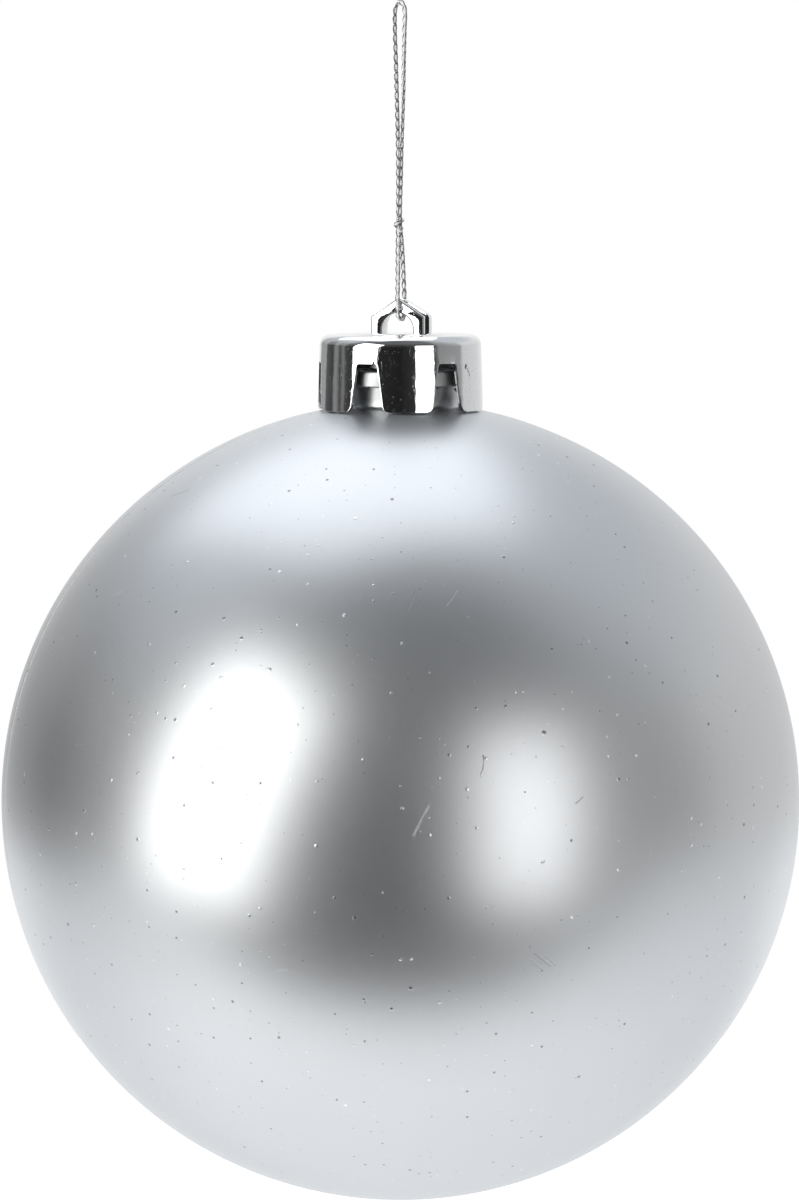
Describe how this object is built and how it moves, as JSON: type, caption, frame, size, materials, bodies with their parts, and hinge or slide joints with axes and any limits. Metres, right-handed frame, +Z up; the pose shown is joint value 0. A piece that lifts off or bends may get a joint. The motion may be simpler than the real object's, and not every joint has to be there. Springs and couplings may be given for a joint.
{
  "type": "ball ornament",
  "caption": "Hollow matte silver ball ornament with a slotted push-on cap in bright plating, a moulded eye and a knotted metallic cord loop to hang it by.",
  "frame": {"origin": "inside of the cord loop's top, where a hook or twig carries it; the ornament hangs below", "axes": "+Z up along the ball's axis, -Y towards the front"},
  "size_m": [0.1498, 0.1498, 0.2251],
  "materials": {
    "silver_lacquer": "satin silver lacquer on moulded plastic",
    "bright_plating": "polished, mirror-bright plating on moulded plastic",
    "metallic_cord": "silver foil yarn, chain stitched"
  },
  "bodies": {
    "hanging_loop": {"cord_above_knot": "metallic_cord", "cord_knot": "metallic_cord"},
    "eye_loop": {"cord_below_knot": "metallic_cord"},
    "cap": {"cap": "bright_plating"},
    "ball": {"front_half_shell": "silver_lacquer", "rear_half_shell": "silver_lacquer"}
  },
  "joints": [
    {"name": "loop_swing", "type": "hinge", "parent": "hanging_loop", "child": "eye_loop", "pos_m": [-0.0002, 0, -0.0412], "axis": [0.9563, -0.2924, 0], "range_deg": [-90, 90]},
    {"name": "eye_rock", "type": "hinge", "parent": "eye_loop", "child": "cap", "pos_m": [0.0002, 0, -0.05872], "axis": [-0.2924, -0.9563, 0], "range_deg": [-90, 90]},
    {"name": "ball_turn", "type": "hinge", "parent": "cap", "child": "ball", "pos_m": [0, 0, -0.06165], "axis": [0, 0, 1], "continuous": true}
  ]
}
